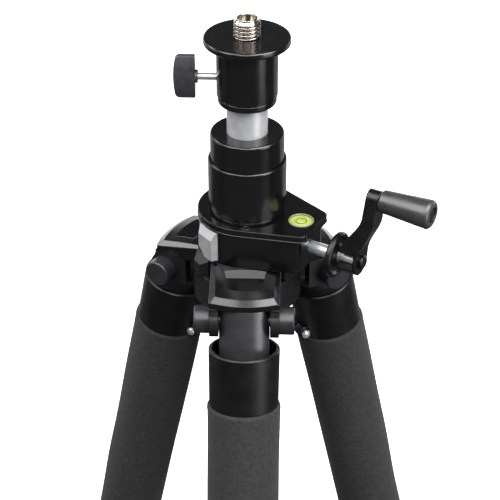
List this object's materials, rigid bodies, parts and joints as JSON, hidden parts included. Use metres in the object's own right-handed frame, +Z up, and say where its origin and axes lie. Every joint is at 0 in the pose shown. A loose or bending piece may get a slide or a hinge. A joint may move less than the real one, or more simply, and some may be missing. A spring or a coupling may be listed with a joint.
{
  "type": "elevating tripod",
  "caption": "Elevating tripod with a threaded head on a geared, crank-driven centre column, a bubble level, foam-gripped legs that fold and telescope, twist locks and rubber feet.",
  "frame": {"origin": "on the column axis at the top face of the seat disc, where the thread stud starts", "axes": "+Z up along the thread stud and the column, +Y away from the front leg, +X to the side of the crank"},
  "size_m": [0.3576, 0.3141, 0.7908],
  "materials": {
    "stud_steel": "nickel plated thread",
    "adapter_black": "gloss black coating",
    "bright_steel": "turned steel",
    "knob_plastic": "fine grained plastic",
    "column_aluminium": "satin anodised tube",
    "black_plastic": "moulded plastic",
    "collar_black": "gloss moulded plastic",
    "sleeve_plastic": "moulded bearing plastic",
    "plate_black": "gloss moulded plastic",
    "level_green": "tinted clear vial",
    "lug_grey": "satin cast metal",
    "crank_black": "moulded plastic",
    "shoulder_black": "semi gloss black coating",
    "pin_black": "black coated steel",
    "yoke_grey": "dark grey metallic coating",
    "cup_black": "semi gloss moulded plastic",
    "tube_black": "black anodised tube",
    "foam": "closed cell foam",
    "lock_rubber": "ribbed rubber sleeve",
    "tube_silver": "satin anodised tube",
    "foot_rubber": "moulded rubber"
  },
  "bodies": {
    "base": {"spider": "shoulder_black", "gear_housing": "plate_black", "top_plate": "plate_black", "level_cup": "black_plastic", "level_vial": "level_green", "side_lug": "lug_grey", "column_sleeve": "sleeve_plastic", "guide_ring": "collar_black", "shaft_bush": "bright_steel", "cap_front": "shoulder_black", "hinge_pin_front": "pin_black", "cap_right": "shoulder_black", "hinge_pin_right": "pin_black", "cap_left": "shoulder_black", "hinge_pin_left": "pin_black"},
    "column": {"column_tube": "column_aluminium", "column_plug": "black_plastic", "column_rack": "bright_steel", "column_cap": "black_plastic"},
    "adapter": {"head_adapter": "adapter_black", "thread_stud": "stud_steel"},
    "clamp": {"clamp_screw": "bright_steel", "clamp_knob": "knob_plastic"},
    "lock_ring": {"lock_collar": "collar_black"},
    "crank": {"crank_shaft": "bright_steel", "crank_arm": "crank_black", "crank_nut": "crank_black", "grip_pin": "bright_steel"},
    "grip": {"crank_grip": "knob_plastic"},
    "tension": {"tension_disc": "crank_black"},
    "gear": {"rack_gear": "bright_steel"},
    "leg_front": {"leg_yoke_front": "yoke_grey", "leg_cup_front": "cup_black", "upper_tube_front": "tube_black", "foam_grip_front": "foam"},
    "upper_twist_front": {"upper_lock_front": "lock_rubber"},
    "middle_front": {"middle_tube_front": "tube_silver"},
    "lower_twist_front": {"lower_lock_front": "lock_rubber"},
    "lower_front": {"lower_tube_front": "tube_silver", "foot_front": "foot_rubber"},
    "leg_right": {"leg_yoke_right": "yoke_grey", "leg_cup_right": "cup_black", "upper_tube_right": "tube_black", "foam_grip_right": "foam"},
    "upper_twist_right": {"upper_lock_right": "lock_rubber"},
    "middle_right": {"middle_tube_right": "tube_silver"},
    "lower_twist_right": {"lower_lock_right": "lock_rubber"},
    "lower_right": {"lower_tube_right": "tube_silver", "foot_right": "foot_rubber"},
    "leg_left": {"leg_yoke_left": "yoke_grey", "leg_cup_left": "cup_black", "upper_tube_left": "tube_black", "foam_grip_left": "foam"},
    "upper_twist_left": {"upper_lock_left": "lock_rubber"},
    "middle_left": {"middle_tube_left": "tube_silver"},
    "lower_twist_left": {"lower_lock_left": "lock_rubber"},
    "lower_left": {"lower_tube_left": "tube_silver", "foot_left": "foot_rubber"}
  },
  "joints": [
    {"name": "column_lift", "type": "slide", "parent": "base", "child": "column", "axis": [0, 0, 1], "range_m": [-0.015, 0.2]},
    {"name": "crank_turn", "type": "hinge", "parent": "base", "child": "crank", "pos_m": [0, 0, -0.13165], "axis": [0.8829, -0.4695, 0], "range_deg": [-4600, 350]},
    {"name": "gear_turn", "type": "hinge", "parent": "base", "child": "gear", "pos_m": [0.01448, -0.0077, -0.14005], "axis": [0.4695, 0.8829, 0], "range_deg": [-175, 2300]},
    {"name": "grip_spin", "type": "hinge", "parent": "crank", "child": "grip", "pos_m": [0.07533, -0.02873, -0.09145], "axis": [0.8829, -0.4695, 0], "continuous": true},
    {"name": "tension_turn", "type": "hinge", "parent": "base", "child": "tension", "pos_m": [0.05474, -0.02911, -0.13165], "axis": [0.8829, -0.4695, 0], "range_deg": [0, 90]},
    {"name": "collar_twist", "type": "hinge", "parent": "base", "child": "lock_ring", "pos_m": [0, 0, -0.097], "axis": [0, 0, 1], "range_deg": [0, 90]},
    {"name": "head_swivel", "type": "hinge", "parent": "column", "child": "adapter", "pos_m": [0, 0, -0.03], "axis": [0, 0, 1], "continuous": true},
    {"name": "clamp_turn", "type": "hinge", "parent": "adapter", "child": "clamp", "pos_m": [-0.02, 0, -0.0266], "axis": [-1, 0, 0], "range_deg": [0, 360]},
    {"name": "leg_fold_front", "type": "hinge", "parent": "base", "child": "leg_front", "pos_m": [0, -0.05, -0.168], "axis": [1, 0, 0], "range_deg": [0, 12.85]},
    {"name": "upper_twist_front", "type": "hinge", "parent": "leg_front", "child": "upper_twist_front", "pos_m": [0, -0.1612, -0.65548], "axis": [0, 0.2224, 0.975], "range_deg": [0, 120]},
    {"name": "middle_slide_front", "type": "slide", "parent": "leg_front", "child": "middle_front", "axis": [0, -0.2224, -0.975], "range_m": [0, 0.38]},
    {"name": "lower_twist_front", "type": "hinge", "parent": "middle_front", "child": "lower_twist_front", "pos_m": [0, -0.17343, -0.7091], "axis": [0, 0.2224, 0.975], "range_deg": [0, 120]},
    {"name": "lower_slide_front", "type": "slide", "parent": "middle_front", "child": "lower_front", "axis": [0, -0.2224, -0.975], "range_m": [0, 0.4]},
    {"name": "leg_fold_right", "type": "hinge", "parent": "base", "child": "leg_right", "pos_m": [0.0433, 0.025, -0.168], "axis": [-0.5, 0.866, 0], "range_deg": [0, 12.85]},
    {"name": "upper_twist_right", "type": "hinge", "parent": "leg_right", "child": "upper_twist_right", "pos_m": [0.1396, 0.0806, -0.65548], "axis": [-0.1926, -0.1112, 0.975], "range_deg": [0, 120]},
    {"name": "middle_slide_right", "type": "slide", "parent": "leg_right", "child": "middle_right", "axis": [0.1926, 0.1112, -0.975], "range_m": [0, 0.38]},
    {"name": "lower_twist_right", "type": "hinge", "parent": "middle_right", "child": "lower_twist_right", "pos_m": [0.1502, 0.08672, -0.7091], "axis": [-0.1926, -0.1112, 0.975], "range_deg": [0, 120]},
    {"name": "lower_slide_right", "type": "slide", "parent": "middle_right", "child": "lower_right", "axis": [0.1926, 0.1112, -0.975], "range_m": [0, 0.4]},
    {"name": "leg_fold_left", "type": "hinge", "parent": "base", "child": "leg_left", "pos_m": [-0.0433, 0.025, -0.168], "axis": [-0.5, -0.866, 0], "range_deg": [0, 12.85]},
    {"name": "upper_twist_left", "type": "hinge", "parent": "leg_left", "child": "upper_twist_left", "pos_m": [-0.1396, 0.0806, -0.65548], "axis": [0.1926, -0.1112, 0.975], "range_deg": [0, 120]},
    {"name": "middle_slide_left", "type": "slide", "parent": "leg_left", "child": "middle_left", "axis": [-0.1926, 0.1112, -0.975], "range_m": [0, 0.38]},
    {"name": "lower_twist_left", "type": "hinge", "parent": "middle_left", "child": "lower_twist_left", "pos_m": [-0.1502, 0.08672, -0.7091], "axis": [0.1926, -0.1112, 0.975], "range_deg": [0, 120]},
    {"name": "lower_slide_left", "type": "slide", "parent": "middle_left", "child": "lower_left", "axis": [-0.1926, 0.1112, -0.975], "range_m": [0, 0.4]}
  ],
  "couplings": [
    {"joint": "gear_turn", "follows": "column_lift", "rad_per_m": 200},
    {"joint": "crank_turn", "follows": "column_lift", "rad_per_m": -400}
  ]
}
